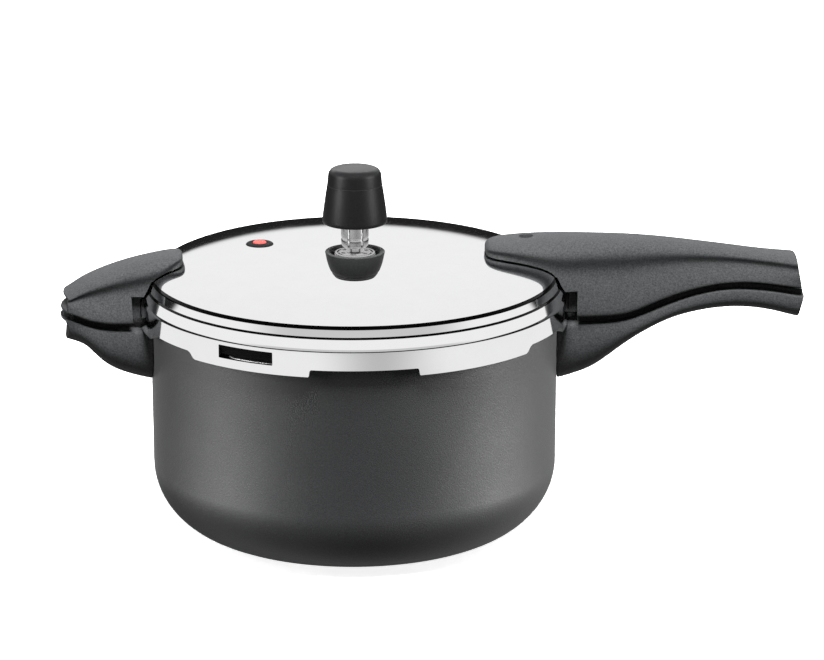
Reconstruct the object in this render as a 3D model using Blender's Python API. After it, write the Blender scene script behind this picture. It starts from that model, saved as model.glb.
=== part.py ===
"""Stovetop pressure cooker with a bayonet lid, two double handles and a weighted regulator.

Metres, +Z up. The origin is the centre of the pot's flat base, and +X runs along the long handle.
Sizes below are in millimetres and are turned into metres where a shape is made.
"""

import math

import bmesh
import bpy

MM = 0.001

# Driving dimensions of the pot
POT_RADIUS = 110.0
POT_WALL = 2.6
POT_FLOOR = 3.0
CORNER_RADIUS = 38.0
CORNER_TAPER = 0.4
RIM_LOW = 118.3
RIM_HIGH = 120.8
RIM_RADIUS = 110.9
TAB_RADIUS = 113.3
TAB_HALF_ANGLE = 7.0
LOCK_COUNT = 6
ROUND = 60

# Driving dimensions of the lid
SHEET = 2.0
SHOULDER_RADIUS = 110.5
SHOULDER_HEIGHT = 136.0
CROWN = 15.3
CROWN_POWER = 4
CROWN_ROUNDNESS = 0.371
BEAD = (111.9, 135.6)
SKIRT_TOP = (115.2, 130.0)
SKIRT_RADIUS = 115.7
SKIRT_BOTTOM = 115.7
NOTCH_HEIGHT = 119.7
NOTCH_ANGLE = 27.0
LUG_RADIUS = 111.3
LUG_HIGH = 117.9
WINDOW = {"azimuth": -121.5, "width": 31.5, "low": 121.0, "high": 127.3}

# Where the lid's fittings stand, in plan
VENT = (-1.6, -48.0)
SAFETY = (-50.2, 21.6)
LOCK_PIN = (93.0, 0.0)

# Fits
GAP = 0.35
SCREW_SHAFT = 2.0
SCREW_HOLE = 2.4
SCREW_HEAD = 3.7

# A handle's outline across, from the middle of its underside to the middle of its top: (width, height)
UPPER_SECTION = (
    (0.0, 0.0), (0.93, 0.0), (1.0, 0.06), (0.97, 0.22), (0.9, 0.4), (0.85, 0.57),
    (0.83, 0.7), (0.75, 0.84), (0.56, 0.94), (0.3, 0.985), (0.0, 1.0),
)
LOWER_SECTION = (
    (0.0, 0.0), (0.34, 0.02), (0.64, 0.1), (0.86, 0.27), (0.96, 0.5), (1.0, 0.74),
    (1.0, 0.93), (0.94, 1.0), (0.0, 1.0),
)

# A handle's outline along its length: (distance from the pot's axis, underside, top, half width)
LID_LONG_STATIONS = (
    (70.8, 150.6, 154.4, 8.0), (73.0, 146.0, 157.3, 12.8), (80.0, 142.0, 158.7, 17.0),
    (90.0, 136.0, 159.5, 19.8), (100.0, 128.0, 160.1, 21.6), (112.0, 119.3, 160.4, 22.4),
    (121.0, 119.1, 160.3, 22.0), (142.0, 119.0, 159.7, 20.4), (151.0, 121.2, 159.1, 19.2),
    (162.0, 125.6, 158.2, 17.8), (175.0, 130.3, 156.6, 16.3), (193.0, 134.4, 154.0, 14.9),
    (208.0, 135.4, 151.8, 14.3), (220.0, 134.6, 149.9, 14.3), (238.5, 131.6, 148.0, 14.4),
    (242.6, 131.8, 144.5, 13.4),
)
LID_HELPER_STATIONS = (
    (92.0, 150.8, 152.6, 8.0), (94.0, 146.0, 154.1, 12.6), (98.0, 138.0, 154.2, 15.6),
    (104.0, 126.0, 153.5, 18.2), (111.0, 119.3, 152.2, 20.2), (122.0, 119.2, 149.5, 21.6),
    (134.0, 119.4, 145.4, 21.6), (145.0, 121.6, 140.8, 20.0), (152.0, 123.8, 136.6, 17.4),
    (157.0, 125.4, 130.6, 11.5),
)
BODY_LONG_STATIONS = (
    (104.0, 79.0, 114.7, 19.2), (112.0, 81.2, 114.7, 20.0), (120.0, 83.6, 114.7, 20.0),
    (129.5, 87.2, 114.6, 19.8), (139.5, 95.2, 114.6, 19.2), (151.0, 104.3, 116.6, 18.2),
    (166.5, 112.6, 122.6, 16.6), (177.5, 116.3, 126.6, 15.6), (194.0, 119.3, 130.6, 14.6),
    (209.0, 119.8, 131.2, 14.2), (222.0, 118.3, 129.9, 14.2), (232.0, 115.9, 128.4, 14.4),
    (241.0, 113.6, 126.6, 14.2), (244.4, 115.8, 124.6, 12.6),
)
BODY_HELPER_STATIONS = (
    (104.0, 83.0, 114.7, 18.4), (112.0, 85.0, 114.7, 19.6), (118.0, 86.6, 114.8, 20.2),
    (128.0, 90.0, 115.1, 20.6), (135.0, 94.4, 115.7, 20.6), (141.6, 101.0, 116.9, 19.8),
    (146.0, 104.8, 118.0, 18.6), (152.0, 106.8, 119.4, 16.6), (156.6, 108.8, 120.6, 13.2),
    (158.8, 112.0, 119.6, 9.6),
)


def clear_scene():
    for thing in list(bpy.data.objects):
        bpy.data.objects.remove(thing, do_unlink=True)


def material(name, colour, roughness, metallic=0.0):
    made = bpy.data.materials.new(name)
    made.use_nodes = True
    shader = made.node_tree.nodes["Principled BSDF"]
    shader.inputs["Base Color"].default_value = (*colour, 1.0)
    shader.inputs["Roughness"].default_value = roughness
    shader.inputs["Metallic"].default_value = metallic
    return made


def make_object(name, shape, surface=None, at=(0.0, 0.0, 0.0)):
    """The bmesh as an object, its faces turned outwards and its round stretches shaded smooth."""
    bmesh.ops.recalc_face_normals(shape, faces=shape.faces)
    mesh = bpy.data.meshes.new(name)
    shape.to_mesh(mesh)
    shape.free()
    mesh.shade_smooth()
    mesh.set_sharp_from_angle(angle=math.radians(35))
    made = bpy.data.objects.new(name, mesh)
    made.location = [value * MM for value in at]
    bpy.context.scene.collection.objects.link(made)
    if surface:
        mesh.materials.append(surface)
    return made


def as_cutter(made):
    made.hide_render = True
    made.display_type = "WIRE"
    return made


def cut(target, *cutters):
    """Takes each cutter away from the target."""
    for cutter in cutters:
        modifier = target.modifiers.new("cut_" + cutter.name, "BOOLEAN")
        modifier.operation = "DIFFERENCE"
        modifier.solver = "EXACT"
        modifier.object = cutter


def turned_shape(profile, segments):
    """A profile of (radius, height) spun about Z. A profile that leaves the axis free is a ring."""
    shape = bmesh.new()
    points = [shape.verts.new((radius * MM, 0.0, height * MM)) for radius, height in profile]
    edges = [shape.edges.new(pair) for pair in zip(points, points[1:])]
    if profile[0][0] > 0:
        edges.append(shape.edges.new((points[-1], points[0])))
    bmesh.ops.spin(
        shape, geom=points + edges, cent=(0, 0, 0), axis=(0, 0, 1),
        angle=math.tau, steps=segments, use_merge=True,
    )
    bmesh.ops.remove_doubles(shape, verts=shape.verts, dist=1e-6)
    return shape


def turned(name, profile, segments, surface=None, at=(0.0, 0.0)):
    return make_object(name, turned_shape(profile, segments), surface, (*at, 0.0))


def turned_cutter(name, profile, segments, at=(0.0, 0.0)):
    return as_cutter(turned(name, profile, segments, None, at))


def hole_cutter(name, radius, low, high, at, segments=12):
    return turned_cutter(name, ((0, low), (radius, low), (radius, high), (0, high)), segments, at)


def drawn_plate(name, outline, half_width, surface=None, side=1):
    """An outline of (x, z) points drawn out to both sides of the XZ plane."""
    shape = bmesh.new()
    corners = [shape.verts.new((side * x * MM, -half_width * MM, z * MM)) for x, z in outline]
    face = shape.faces.new(corners)
    grown = bmesh.ops.extrude_face_region(shape, geom=[face])
    moved = [item for item in grown["geom"] if isinstance(item, bmesh.types.BMVert)]
    bmesh.ops.translate(shape, verts=moved, vec=(0, 2 * half_width * MM, 0))
    return make_object(name, shape, surface)


def smooth_stations(stations):
    """The stations with one more between each pair, on a cubic through them."""

    def slope(index, column):
        before = stations[max(index - 1, 0)]
        after = stations[min(index + 1, len(stations) - 1)]
        return (after[column] - before[column]) / (after[0] - before[0])

    found = [stations[0]]
    for index in range(len(stations) - 1):
        start, end = stations[index], stations[index + 1]
        span = end[0] - start[0]
        middle = [(start[0] + end[0]) / 2]
        for column in range(1, 4):
            bend = (slope(index, column) - slope(index + 1, column)) * span / 8
            middle.append((start[column] + end[column]) / 2 + bend)
        found += [tuple(middle), end]
    return found


def handle(name, stations, section, surface, side):
    """A grip lofted through its stations; section is one half of its outline across."""
    outline = list(section) + [(-across, up) for across, up in reversed(section[1:-1])]
    shape = bmesh.new()
    rings = []
    for x, low, high, half in smooth_stations(stations):
        rings.append([
            shape.verts.new((side * x * MM, across * half * MM, (low + up * (high - low)) * MM))
            for across, up in outline
        ])
    for first, second in zip(rings, rings[1:]):
        for index in range(len(outline)):
            after = (index + 1) % len(outline)
            shape.faces.new((first[index], first[after], second[after], second[index]))
    shape.faces.new(rings[0])
    shape.faces.new(rings[-1])
    return make_object(name, shape, surface)


def crown_height(radius, rim_radius, rim_height):
    """Height of the lid's nearly flat crown, which rounds over to its rim."""
    share = min(radius / rim_radius, 1.0) ** CROWN_POWER
    return rim_height + CROWN * (1 - share) ** CROWN_ROUNDNESS


def crown_points(rim_radius, rim_height, lift=0.0):
    """(radius, height) points from the axis to the crown's rim."""
    shares = (0.0, 0.35, 0.55, 0.7, 0.81, 0.89, 0.94, 0.97, 0.988, 0.997, 1.0)
    return [
        (rim_radius * share, crown_height(rim_radius * share, rim_radius, rim_height) + lift)
        for share in shares
    ]


def lid_top(at):
    """Height of the lid's upper face at a place in plan."""
    return crown_height(math.hypot(*at), SHOULDER_RADIUS, SHOULDER_HEIGHT)


def lid_under(at):
    """Height of the lid's lower face at a place in plan."""
    return crown_height(math.hypot(*at), SHOULDER_RADIUS - SHEET, SHOULDER_HEIGHT - SHEET)


def raised(profile, height):
    return [(radius, up + height) for radius, up in profile]


def arc(centre, radius, start, end, steps):
    """Points of a circular arc in the (radius, height) plane, from one angle to another in degrees."""
    angles = [math.radians(start + (end - start) * step / steps) for step in range(steps + 1)]
    return [
        (centre[0] + radius * math.cos(angle), centre[1] + radius * math.sin(angle))
        for angle in angles
    ]


def screw(name, at, head_low, head_high, tip, surface):
    profile = (
        (0, head_low), (SCREW_HEAD, head_low), (SCREW_HEAD, head_high - 0.5),
        (SCREW_HEAD - 0.5, head_high), (SCREW_SHAFT, head_high), (SCREW_SHAFT, tip), (0, tip),
    )
    return turned(name, profile, 12, surface, at)


def make_materials():
    return {
        "nonstick": material("nonstick", (0.075, 0.075, 0.078), 0.5, 0.3),
        "polished": material("polished", (0.86, 0.86, 0.87), 0.12, 1.0),
        "phenolic": material("phenolic", (0.06, 0.06, 0.063), 0.5),
        "steel": material("steel", (0.6, 0.6, 0.61), 0.3, 1.0),
        "rubber": material("rubber", (0.025, 0.025, 0.026), 0.75),
        "black": material("black", (0.03, 0.03, 0.031), 0.4),
        "red": material("red", (0.7, 0.05, 0.06), 0.45),
    }


def make_pot(surfaces):
    """The drawn pot: flat base, round bottom corner, straight wall and a rim with locking tabs."""
    low_radius = POT_RADIUS - CORNER_TAPER
    outer = arc((low_radius - CORNER_RADIUS, CORNER_RADIUS), CORNER_RADIUS, -90, 0, 7)
    inner_corner = CORNER_RADIUS - POT_WALL
    inner = arc((low_radius - CORNER_RADIUS, POT_FLOOR + inner_corner), inner_corner, 0, -90, 6)
    profile = (
        [(0, 0)] + outer
        + [(POT_RADIUS, RIM_LOW), (RIM_RADIUS, RIM_LOW), (RIM_RADIUS, RIM_HIGH)]
        + [(POT_RADIUS - POT_WALL, RIM_HIGH)] + inner + [(0, POT_FLOOR)]
    )
    shape = turned_shape(profile, ROUND)
    for vert in shape.verts:
        reach = math.hypot(vert.co.x, vert.co.y) / MM
        pitch = 360 / LOCK_COUNT
        azimuth = math.degrees(math.atan2(vert.co.y, vert.co.x))
        away = abs((azimuth + pitch / 2) % pitch - pitch / 2)
        if reach > RIM_RADIUS - 0.05 and away < TAB_HALF_ANGLE:
            vert.co.x *= TAB_RADIUS / reach
            vert.co.y *= TAB_RADIUS / reach
    return make_object("pot_body", shape, surfaces["nonstick"])


def make_body_fittings(surfaces, pot, side, title, stations, tongue_end, screw_x, head_low):
    """A lower handle with its bracket, the bracket's two rivets and the screw from below."""
    grip = handle(title + "_handle", stations, LOWER_SECTION, surfaces["phenolic"], side)
    wall = turned_cutter(
        title + "_wall_cutter",
        ((0, 60), (POT_RADIUS + GAP, 60), (POT_RADIUS + GAP, 130), (0, 130)), ROUND,
    )
    pocket = as_cutter(drawn_plate(
        title + "_pocket_cutter",
        ((100, 87.6), (115, 87.6), (115, 99.6), (tongue_end + 0.4, 99.6),
         (tongue_end + 0.4, 102.9), (115, 102.9), (115, 110.4), (100, 110.4)),
        9.4, None, side,
    ))
    bore = turned_cutter(
        title + "_screw_cutter",
        ((0, 60), (4.3, 60), (4.3, head_low + 3.2), (SCREW_HOLE, head_low + 3.2),
         (SCREW_HOLE, 107), (0, 107)),
        16, (side * screw_x, 0),
    )
    cut(grip, wall, pocket, bore)

    bracket = drawn_plate(
        title + "_bracket",
        ((110.4, 88), (112.6, 88), (112.6, 100), (tongue_end, 100),
         (tongue_end, 102.5), (112.6, 102.5), (112.6, 110), (110.4, 110)),
        9.0, surfaces["steel"], side,
    )
    cut(bracket, hole_cutter(title + "_tongue_hole", SCREW_HOLE, 95, 108, (side * screw_x, 0)))
    screw(title + "_screw", (side * screw_x, 0), head_low, head_low + 2.8, 106.4, surfaces["steel"])

    rivet_profile = (
        (0, 104.8), (2.8, 105.1), (4.0, 105.9), (4.3, 106.9), (2.0, 106.9), (2.0, 112.9),
        (3.4, 112.9), (3.2, 114.2), (0, 114.5),
    )
    hole_profile = ((0, 100), (SCREW_HOLE, 100), (SCREW_HOLE, 118), (0, 118))
    for place, height in (("lower", 92.5), ("upper", 106.5)):
        hole = turned_cutter(title + "_rivet_hole_" + place, hole_profile, 12)
        rivet = turned(title + "_rivet_" + place, rivet_profile, 12, surfaces["steel"])
        for piece in (hole, rivet):
            piece.rotation_euler = (0, side * math.pi / 2, 0)
            piece.location = (0, 0, height * MM)
        cut(pot, hole)
        cut(bracket, hole)


def make_sealing_ring(surfaces):
    profile = (
        (106.0, 121.3), (112.5, 121.3), (113.3, 122.2), (113.3, 127.8), (112.4, 128.8),
        (106.6, 128.8), (105.8, 127.2), (109.6, 126.0), (109.6, 124.2), (105.8, 122.9),
    )
    return turned("sealing_ring", profile, ROUND, surfaces["rubber"])


def make_lid(surfaces):
    """The lid: crown, stepped shoulder, skirt, inward lugs between the notches, and the window slot."""
    outer = crown_points(SHOULDER_RADIUS, SHOULDER_HEIGHT)
    inner = crown_points(SHOULDER_RADIUS - SHEET, SHOULDER_HEIGHT - SHEET)
    inner_skirt = SKIRT_RADIUS - SHEET
    profile = (
        outer
        + [BEAD, SKIRT_TOP, (SKIRT_RADIUS, SKIRT_TOP[1] - 1.4), (SKIRT_RADIUS, SKIRT_BOTTOM)]
        + [(LUG_RADIUS, SKIRT_BOTTOM), (LUG_RADIUS, LUG_HIGH), (inner_skirt, LUG_HIGH)]
        + [(inner_skirt, 129.0), (110.3, 134.0)]
        + list(reversed(inner))
    )
    lid = turned("lid_shell", profile, ROUND, surfaces["polished"])

    half_notch = SKIRT_RADIUS * math.sin(math.radians(NOTCH_ANGLE / 2))
    for index in range(LOCK_COUNT):
        notch = as_cutter(drawn_plate(
            f"notch_cutter_{index + 1}",
            ((105, 110), (122, 110), (122, NOTCH_HEIGHT), (105, NOTCH_HEIGHT)), half_notch,
        ))
        notch.rotation_euler = (0, 0, math.radians((index + 0.5) * 360 / LOCK_COUNT))
        cut(lid, notch)
    window = as_cutter(drawn_plate(
        "window_cutter",
        ((105, WINDOW["low"]), (122, WINDOW["low"]), (122, WINDOW["high"]), (105, WINDOW["high"])),
        WINDOW["width"] / 2,
    ))
    window.rotation_euler = (0, 0, math.radians(WINDOW["azimuth"]))
    cut(
        lid, window,
        hole_cutter("vent_hole", 5.4, 130, 160, VENT, 16),
        hole_cutter("safety_hole", 5.0, 130, 160, SAFETY, 20),
        hole_cutter("lock_pin_hole", 4.6, 130, 160, LOCK_PIN, 16),
    )
    return lid


def make_lid_handles(surfaces, lid):
    """The two upper handles, hollowed to follow the lid, and the screws that come up through the lid."""
    lift = 0.6
    clearance = turned_cutter(
        "lid_clearance_cutter",
        crown_points(SHOULDER_RADIUS, SHOULDER_HEIGHT, lift)
        + [(112.6, 136.2), (114.5, 133.5), (121.0, 133.5), (121.0, 100.0), (0, 100.0)],
        ROUND,
    )
    long_handle = handle(
        "lid_long_handle", LID_LONG_STATIONS, UPPER_SECTION, surfaces["phenolic"], 1
    )
    helper = handle(
        "lid_helper_handle", LID_HELPER_STATIONS, UPPER_SECTION, surfaces["phenolic"], -1
    )
    cut(long_handle, clearance)
    cut(helper, clearance)
    cut(long_handle, turned_cutter(
        "pin_well_cutter",
        ((0, 138), (6.2, 138), (6.2, 150.8), (3.8, 150.8), (3.8, 170), (0, 170)), 20, LOCK_PIN,
    ))

    fixings = (
        ("lid_handle_screw_nose", long_handle, (80.0, 0.0), 146.5, 155.0),
        ("lid_handle_screw_front", long_handle, (98.0, -14.0), 141.9, 154.0),
        ("lid_handle_screw_back", long_handle, (98.0, 14.0), 141.9, 154.0),
        ("lid_helper_screw_front", helper, (-99.0, -9.0), 141.8, 150.4),
        ("lid_helper_screw_back", helper, (-99.0, 9.0), 141.8, 150.4),
    )
    for name, grip, at, head_high, tip in fixings:
        screw(name, at, head_high - 2.8, head_high, tip, surfaces["steel"])
        hole = hole_cutter(name + "_hole", SCREW_HOLE, 130, tip + 0.5, at)
        cut(lid, hole)
        cut(grip, hole)


def make_lock_pin(surfaces):
    grommet = (
        (2.95, 142.2), (5.8, 142.2), (5.8, 143.4), (4.2, 143.4), (4.2, 149.2), (5.6, 149.2),
        (5.4, 150.3), (2.95, 150.3),
    )
    pin = (
        (0, 136.4), (4.4, 136.4), (4.4, 138.0), (2.6, 138.0), (2.6, 155.0), (2.1, 155.5), (0, 155.5),
    )
    turned("lock_pin_grommet", grommet, 16, surfaces["rubber"], LOCK_PIN)
    turned("lock_pin", pin, 16, surfaces["steel"], LOCK_PIN)


def make_vent(surfaces):
    """The regulator's seat: cup, strainer plate, pipe, and the washer and nut inside the lid."""
    top, under = lid_top(VENT), lid_under(VENT)
    cup = raised((
        (5.4, 0.5), (10.3, 0.5), (11.6, 1.9), (13.1, 4.3), (14.6, 8.4), (15.8, 14.4),
        (13.4, 14.4), (11.2, 5.2), (5.4, 4.2),
    ), top)
    plate = raised(((3.3, 12.5), (10.7, 12.5), (10.7, 13.8), (3.3, 13.8)), top)
    pipe = (
        (1.3, under - 10), (5.0, under - 10), (5.0, top + 4.8), (7.0, top + 4.8), (7.0, top + 6.2),
        (2.9, top + 6.6), (2.9, top + 25.0), (2.3, top + 26.0), (1.3, top + 26.0),
    )
    turned("vent_cup", cup, 24, surfaces["black"], VENT)
    turned("vent_pipe", pipe, 16, surfaces["steel"], VENT)
    strainer = turned("vent_plate", plate, 24, surfaces["steel"], VENT)
    ring, holes = 7.2, 6
    for index in range(holes):
        angle = (index + 0.5) * math.tau / holes
        place = (VENT[0] + ring * math.cos(angle), VENT[1] + ring * math.sin(angle))
        hole = hole_cutter(f"strainer_hole_{index + 1}", 1.2, top + 10, top + 15, place, 6)
        cut(strainer, hole)
    washer = raised(((5.4, -2.9), (8.6, -2.9), (8.6, -0.4), (5.4, -0.4)), under)
    nut = raised(((6.2, -7.3), (9.2, -7.3), (9.2, -3.3), (6.2, -3.3)), under)
    turned("vent_gasket", washer, 16, surfaces["rubber"], VENT)
    turned("vent_nut", nut, 6, surfaces["steel"], VENT)


def make_safety_valve(surfaces):
    top, under = lid_top(SAFETY), lid_under(SAFETY)
    seat = (
        (2.6, under - 2.9), (7.0, under - 2.9), (7.2, under - 0.6), (4.6, under - 0.6),
        (4.6, top + 0.45), (7.6, top + 0.45), (7.0, top + 1.3), (4.1, top + 1.9), (4.1, top + 1.0),
        (2.6, top + 1.0),
    )
    pin = (
        (0, under - 2.0), (2.2, under - 2.0), (2.2, top + 1.35), (3.75, top + 1.35),
        (3.6, top + 2.0), (2.0, top + 2.4), (0, top + 2.5),
    )
    turned("safety_valve_seat", seat, 20, surfaces["rubber"], SAFETY)
    turned("safety_valve_pin", pin, 16, surfaces["red"], SAFETY)


def make_weight(surfaces):
    """The regulator weight: fingered sleeve on the pipe, metal core, tapered cap and domed top."""
    top = lid_top(VENT)
    sleeve = turned(
        "weight_sleeve",
        raised((
            (0, 26.4), (2.6, 26.4), (3.3, 25.2), (3.3, 15.0), (3.7, 14.2), (4.7, 18.7), (6.3, 22.0),
            (6.3, 23.6), (5.6, 24.3), (6.3, 25.0), (6.3, 33.0), (0, 33.0),
        ), top),
        24, surfaces["steel"], VENT,
    )
    fingers = 6
    for index in range(fingers // 2):
        slot = as_cutter(drawn_plate(
            f"sleeve_slot_{index + 1}",
            raised(((-9, 16.5), (9, 16.5), (9, 25.6), (-9, 25.6)), top), 0.45,
        ))
        slot.location = (VENT[0] * MM, VENT[1] * MM, 0)
        slot.rotation_euler = (0, 0, math.radians((index + 0.5) * 360 / fingers - 30))
        cut(sleeve, slot)
    core = raised((
        (0, 33.6), (6.8, 33.6), (6.8, 31.2), (14.0, 31.2), (12.7, 48.5), (0, 48.5),
    ), top)
    cap = raised((
        (15.4, 30.0), (16.2, 30.0), (16.75, 31.0), (14.35, 51.4), (13.1, 51.4), (14.9, 31.0),
    ), top)
    crown = raised((
        (0, 49.0), (12.6, 49.0), (12.6, 51.8), (14.3, 51.8), (13.7, 56.6), (12.9, 58.4),
        (11.2, 59.3), (7.0, 59.6), (0, 59.7),
    ), top)
    turned("weight_core", core, 20, surfaces["steel"], VENT)
    turned("weight_cap", cap, 28, surfaces["black"], VENT)
    turned("weight_top", crown, 28, surfaces["black"], VENT)


def main():
    clear_scene()
    surfaces = make_materials()
    pot = make_pot(surfaces)
    make_body_fittings(surfaces, pot, 1, "body_long", BODY_LONG_STATIONS, 138.0, 128.0, 88.8)
    make_body_fittings(surfaces, pot, -1, "body_helper", BODY_HELPER_STATIONS, 134.0, 126.0, 91.5)
    make_sealing_ring(surfaces)
    lid = make_lid(surfaces)
    make_lid_handles(surfaces, lid)
    make_lock_pin(surfaces)
    make_vent(surfaces)
    make_safety_valve(surfaces)
    make_weight(surfaces)


main()
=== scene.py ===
import math

import bmesh
import bpy
from mathutils import Matrix


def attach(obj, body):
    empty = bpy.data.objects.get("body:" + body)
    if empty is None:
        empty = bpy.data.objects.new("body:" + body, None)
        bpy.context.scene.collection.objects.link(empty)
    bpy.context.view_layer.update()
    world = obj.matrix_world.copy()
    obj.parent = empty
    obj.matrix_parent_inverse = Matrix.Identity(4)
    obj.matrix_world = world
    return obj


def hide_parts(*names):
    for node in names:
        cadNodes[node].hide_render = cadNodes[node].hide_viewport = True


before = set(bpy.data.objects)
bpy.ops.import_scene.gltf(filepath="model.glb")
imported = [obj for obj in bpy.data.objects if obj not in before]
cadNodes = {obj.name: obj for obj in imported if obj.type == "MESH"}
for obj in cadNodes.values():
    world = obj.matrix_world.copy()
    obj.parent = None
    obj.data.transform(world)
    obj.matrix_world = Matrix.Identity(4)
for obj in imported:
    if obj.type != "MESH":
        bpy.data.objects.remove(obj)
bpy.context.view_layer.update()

print("frame loaded:", len(cadNodes), "nodes")

# Shapes are worked in millimetres and scaled to metres as each piece is finished
ventAt = (-1.6, -48.0)
valveAt = (-50.2, 21.6)
pinAt = (93.0, 0.0)


# colours are given as on a paint chart and turned linear for the shader
def hexColour(code):
    parts = [int(code[place:place + 2], 16) / 255 for place in (1, 3, 5)]
    linear = [part / 12.92 if part <= 0.04045 else ((part + 0.055) / 1.055) ** 2.4 for part in parts]
    return (*linear, 1.0)


# texture scale that makes one grain this many millimetres wide
def perMm(size):
    return 1000.0 / size


# adds a shader node with its settings, values and links
def addNode(tree, kind, settings=None, inputs=None):
    made = tree.nodes.new("ShaderNode" + kind)
    for name, value in (settings or {}).items():
        setattr(made, name, value)
    for name, value in (inputs or {}).items():
        if isinstance(value, bpy.types.NodeSocket):
            tree.links.new(value, made.inputs[name])
        else:
            made.inputs[name].default_value = value
    return made


# a new material with its shader's values and links
def newFinish(name):
    finish = bpy.data.materials.new(name)
    finish.use_nodes = True
    return finish, finish.node_tree, finish.node_tree.nodes["Principled BSDF"]


def setShader(tree, shader, values):
    for name, value in values.items():
        if isinstance(value, bpy.types.NodeSocket):
            tree.links.new(value, shader.inputs[name])
        else:
            shader.inputs[name].default_value = value


# fine grain that varies the colour, the gloss and the surface of a moulded or sprayed piece
def grainedFinish(name, look):
    finish, tree, shader = newFinish(name)
    place = addNode(tree, "TexCoord").outputs["Object"]
    grain = addNode(tree, "TexNoise", None, {
        "Vector": place, "Scale": perMm(look["grain"]), "Detail": 2.0, "Roughness": 0.6,
    }).outputs["Fac"]
    cloud = addNode(tree, "TexNoise", None, {
        "Vector": place, "Scale": perMm(look["cloud"]), "Detail": 3.0, "Roughness": 0.5,
    }).outputs["Fac"]
    speck = addNode(tree, "MapRange", None, {
        "Value": grain, "From Min": 0.3, "From Max": 0.7,
    }).outputs["Result"]
    drift = addNode(tree, "MapRange", None, {
        "Value": cloud, "From Min": 0.3, "From Max": 0.7,
    }).outputs["Result"]
    speckled = addNode(tree, "Mix", {"data_type": "RGBA"}, {
        "Factor": speck, "A": hexColour(look["dark"]), "B": hexColour(look["light"]),
    }).outputs["Result"]
    gloss = addNode(tree, "MapRange", None, {
        "Value": drift, "To Min": look["roughness"] - look["glossDrift"],
        "To Max": look["roughness"] + look["glossDrift"],
    }).outputs["Result"]
    bump = addNode(tree, "Bump", None, {
        "Height": grain, "Strength": look["bump"], "Distance": look["depth"] * 0.001,
    }).outputs["Normal"]
    setShader(tree, shader, {
        "Base Color": speckled, "Roughness": gloss, "Normal": bump,
        "Metallic": look.get("metallic", 0.0), "IOR": look.get("ior", 1.5),
        "Specular IOR Level": look.get("specular", 0.5),
    })
    return finish


finishes = {}

# sprayed PTFE non-stick on drawn aluminium: graphite, satin, with a fine pebble that catches the light
finishes["nonstick"] = grainedFinish("sprayed_ptfe_nonstick", {
    "grain": 0.7, "cloud": 60.0, "dark": "#252627", "light": "#323334", "roughness": 0.43,
    "glossDrift": 0.02, "bump": 0.35, "depth": 0.25, "ior": 1.3, "specular": 0.35,
})

# compression-moulded phenolic: dark charcoal with a matte spark-eroded grain
finishes["phenolic"] = grainedFinish("moulded_phenolic", {
    "grain": 0.8, "cloud": 45.0, "dark": "#303132", "light": "#494a4b", "roughness": 0.55,
    "glossDrift": 0.03, "bump": 0.4, "depth": 0.25, "ior": 1.55, "specular": 0.15,
})

# moulded polyamide of the regulator: near black, finer grain, soft satin sheen
finishes["black"] = grainedFinish("moulded_polyamide_black", {
    "grain": 0.45, "cloud": 20.0, "dark": "#101011", "light": "#1a1a1b", "roughness": 0.42,
    "glossDrift": 0.03, "bump": 0.25, "depth": 0.12, "ior": 1.53, "specular": 0.15,
})

# glass-filled polyamide of the vent cup: charcoal, drier than the weight above it
finishes["cup"] = grainedFinish("moulded_polyamide_charcoal", {
    "grain": 0.5, "cloud": 12.0, "dark": "#2c2d2d", "light": "#3c3d3d", "roughness": 0.5,
    "glossDrift": 0.03, "bump": 0.25, "depth": 0.12, "ior": 1.53, "specular": 0.15,
})

# steel of the lock pin, painted near black as the shade down its hole: nearly no light comes back out of it
finishes["paintedHoleShade"] = grainedFinish("steel_painted_hole_shade", {
    "grain": 0.3, "cloud": 4.0, "dark": "#040404", "light": "#090909", "roughness": 0.6,
    "glossDrift": 0.03, "bump": 0.1, "depth": 0.05, "ior": 1.5, "specular": 0.05,
})

# moulded silicone rubber of the gaskets: flat black with a dusty bloom
finishes["rubber"] = grainedFinish("moulded_silicone_black", {
    "grain": 0.5, "cloud": 15.0, "dark": "#141414", "light": "#1f1f20", "roughness": 0.6,
    "glossDrift": 0.05, "bump": 0.15, "depth": 0.08, "ior": 1.41, "specular": 0.2,
})

# moulded silicone, pigmented red, of the safety pin
finishes["red"] = grainedFinish("moulded_silicone_red", {
    "grain": 0.6, "cloud": 8.0, "dark": "#d23a3a", "light": "#ee6058", "roughness": 0.45,
    "glossDrift": 0.05, "bump": 0.15, "depth": 0.08, "ior": 1.41,
})
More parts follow.
